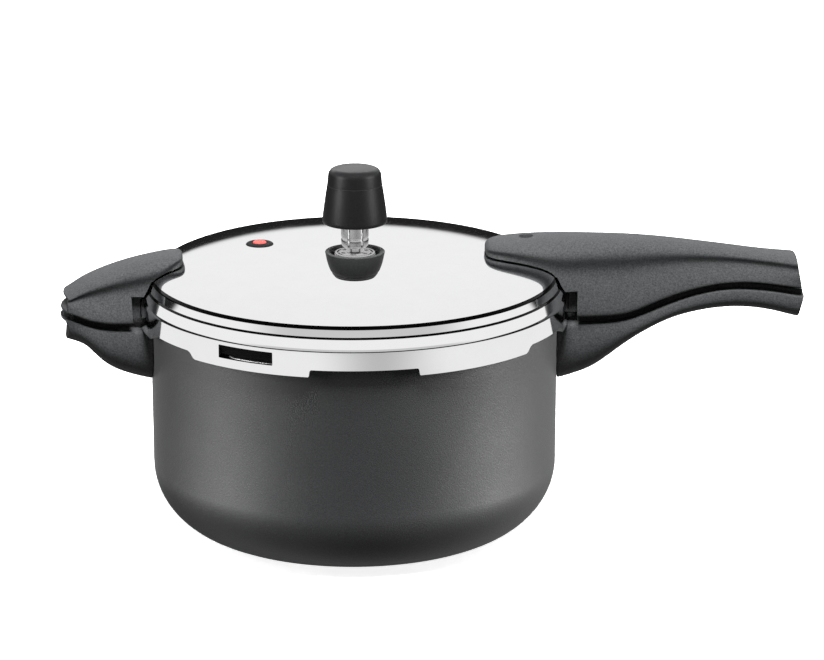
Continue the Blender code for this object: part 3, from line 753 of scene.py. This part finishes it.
# the fixings and the hidden parts keep their CAD shape and take a real finish, but the lock pin and the pipe are
# painted darker as the shade they sit in
keptFinish = {
    "body_long_bracket": "steel", "body_long_rivet_lower": "steel", "body_long_rivet_upper": "steel",
    "body_long_screw": "steel", "body_helper_bracket": "steel", "body_helper_rivet_lower": "steel",
    "body_helper_rivet_upper": "steel", "body_helper_screw": "steel", "lid_handle_screw_nose": "steel",
    "lid_handle_screw_front": "steel", "lid_handle_screw_back": "steel",
    "lid_helper_screw_front": "steel", "lid_helper_screw_back": "steel", "lock_pin_grommet": "rubber",
    "lock_pin": "paintedHoleShade", "vent_pipe": "pipe", "vent_gasket": "rubber", "vent_nut": "steel",
    "weight_core": "steel",
}
for node, finish in keptFinish.items():
    for slot in cadNodes[node].material_slots:
        slot.material = finishes[finish]
print("kept parts finished:", len(keptFinish))


studio = {
    "floorColour": "#f6f6f6", "floorSize": 8.0,
    "skyHigh": 0.1, "skyLow": 0.01,
    "lights": (
        {"name": "key_softbox", "place": (0.0, -0.85, 2.0), "size": (0.7, 0.7), "power": 134.0},
        {"name": "left_strip", "place": (-1.75, -0.45, 0.7), "size": (0.5, 1.2), "power": 950.0,
         "sheenOn": ("pot_body_drawn",)},
        {"name": "right_strip", "place": (1.78, -0.35, 0.7), "size": (0.5, 1.2), "power": 1150.0,
         "sheenOn": ("pot_body_drawn",)},
        {"name": "left_glint", "place": (-1.6, -0.7, 0.6), "size": (0.6, 1.0), "power": 30.0,
         "sheenOn": ("weight_cap_moulded", "weight_top_moulded", "vent_cup_moulded")},
        {"name": "right_glint", "place": (1.6, -0.7, 0.6), "size": (0.6, 1.0), "power": 30.0,
         "sheenOn": ("weight_cap_moulded", "weight_top_moulded", "vent_cup_moulded")},
        {"name": "back_rim", "place": (0.0, 1.9, 1.0), "size": (2.0, 0.5), "power": 9.0,
         "sheenOn": ("weight_top_moulded",)},
        {"name": "back_fill", "place": (0.0, 2.0, 0.5), "size": (1.6, 0.8), "power": 45.0},
    ),
}


# white room seen directly; in gloss a dark belt near the horizon, as the dark end of a studio
def makeRoom():
    world = bpy.data.worlds.new("studio_room")
    bpy.context.scene.world = world
    world.use_nodes = True
    tree = world.node_tree
    backdrop = tree.nodes["Background"]
    direction = addNode(tree, "TexCoord").outputs["Generated"]
    parts = addNode(tree, "SeparateXYZ", None, {"Vector": direction}).outputs
    rise = parts["Z"]
    above = addNode(tree, "MapRange", {"interpolation_type": "SMOOTHSTEP"}, {
        "Value": rise, "From Min": 0.15, "From Max": 0.19, "To Min": 0.015, "To Max": 0.93,
    }).outputs["Result"]
    off = addNode(tree, "Math", {"operation": "SUBTRACT"}, {0: parts["X"], 1: 0.18}).outputs["Value"]
    away = addNode(tree, "Math", {"operation": "ABSOLUTE"}, {0: off}).outputs["Value"]
    across = addNode(tree, "MapRange", {"interpolation_type": "SMOOTHSTEP"}, {
        "Value": away, "From Min": 0.0, "From Max": 0.6, "To Min": 0.54, "To Max": 0.9,
    }).outputs["Result"]
    front = addNode(tree, "MapRange", {"interpolation_type": "SMOOTHSTEP"}, {
        "Value": parts["Y"], "From Min": -0.3, "From Max": -0.7,
    }).outputs["Result"]
    belt = addNode(tree, "MapRange", {"interpolation_type": "SMOOTHSTEP"}, {
        "Value": rise, "From Min": 0.66, "From Max": 0.52, "To Min": 0.0, "To Max": 0.32,
    }).outputs["Result"]
    dim = addNode(tree, "Math", {"operation": "MULTIPLY"}, {0: front, 1: belt}).outputs["Value"]
    above = addNode(tree, "Math", {"operation": "SUBTRACT", "use_clamp": True}, {0: above, 1: dim}).outputs["Value"]
    lean = addNode(tree, "Math", {"operation": "MULTIPLY_ADD"}, {
        0: parts["X"], 1: -0.35, 2: parts["Y"],
    }).outputs["Value"]
    behind = addNode(tree, "MapRange", {"interpolation_type": "SMOOTHSTEP"}, {
        "Value": lean, "From Min": 0.42, "From Max": 0.9, "To Min": 1.0, "To Max": 0.03,
    }).outputs["Result"]
    ground = addNode(tree, "Math", {"operation": "MULTIPLY"}, {0: across, 1: behind}).outputs["Value"]
    deep = addNode(tree, "MapRange", {"interpolation_type": "SMOOTHSTEP"}, {
        "Value": rise, "From Min": -0.31, "From Max": -0.36, "To Min": across, "To Max": ground,
    }).outputs["Result"]
    low = addNode(tree, "MapRange", {"interpolation_type": "SMOOTHSTEP"}, {
        "Value": rise, "From Min": -0.2, "From Max": -0.24, "To Min": 0.015, "To Max": deep,
    }).outputs["Result"]
    gloss = addNode(tree, "Math", {"operation": "MAXIMUM"}, {0: above, 1: low}).outputs["Value"]
    soft = addNode(tree, "MapRange", None, {
        "Value": rise, "From Min": -0.5, "From Max": 0.7, "To Min": studio["skyLow"],
        "To Max": studio["skyHigh"],
    }).outputs["Result"]
    ray = addNode(tree, "LightPath").outputs
    lit = addNode(tree, "Mix", {"data_type": "FLOAT"}, {
        "Factor": ray["Is Glossy Ray"], "A": soft, "B": gloss,
    }).outputs["Result"]
    seen = addNode(tree, "Math", {"operation": "MAXIMUM"}, {0: lit, 1: ray["Is Camera Ray"]})
    tree.links.new(seen.outputs["Value"], backdrop.inputs["Strength"])
    backdrop.inputs["Color"].default_value = (1, 1, 1, 1)


def makeFloor():
    shape = bmesh.new()
    bmesh.ops.create_grid(shape, x_segments=1, y_segments=1, size=studio["floorSize"] * 500)
    bmesh.ops.translate(shape, verts=shape.verts, vec=(0, 0, -0.02))
    finish, tree, shader = newFinish("white_paper_sweep")
    setShader(tree, shader, {
        "Base Color": hexColour(studio["floorColour"]), "Roughness": 0.9, "Specular IOR Level": 0.1,
        "Emission Color": (1, 1, 1, 1), "Emission Strength": 0.85,
    })
    floor = makePiece("floor", shape)
    floor.data.materials.append(finish)
    floor.visible_glossy = False
    floor.visible_diffuse = False


def makeLights():
    for look in studio["lights"]:
        data = bpy.data.lights.new(look["name"], "AREA")
        data.shape = "RECTANGLE"
        data.size, data.size_y = look["size"]
        data.energy = look["power"]
        lamp = bpy.data.objects.new(look["name"], data)
        bpy.context.scene.collection.objects.link(lamp)
        place = Matrix.Translation(look["place"])
        aim = (Matrix.Translation((0, 0, 0.1)).translation - place.translation)
        lamp.matrix_world = place @ aim.to_track_quat("-Z", "Y").to_matrix().to_4x4()
        lamp.visible_glossy = "sheenOn" in look
        if "sheenOn" in look:          # only draws a soft sheen on the satin pieces named
            satin = bpy.data.collections.new(look["name"] + "_lit")
            for name in look["sheenOn"]:
                satin.objects.link(bpy.data.objects[name])
            lamp.visible_diffuse = False
            lamp.light_linking.receiver_collection = satin


def makeCamera():
    lens = bpy.data.cameras.new("camera")
    lens.lens = 167.54
    lens.sensor_width = 36.0
    camera = bpy.data.objects.new("camera", lens)
    bpy.context.scene.collection.objects.link(camera)
    camera.location = (-0.0923, -1.9948, 0.6863)
    camera.rotation_euler = (math.radians(73.854), 0.0, math.radians(-3.549))
    bpy.context.scene.camera = camera


makeRoom()
makeFloor()
makeLights()
makeCamera()
bpy.context.scene.view_settings.view_transform = "Standard"
print("studio made")
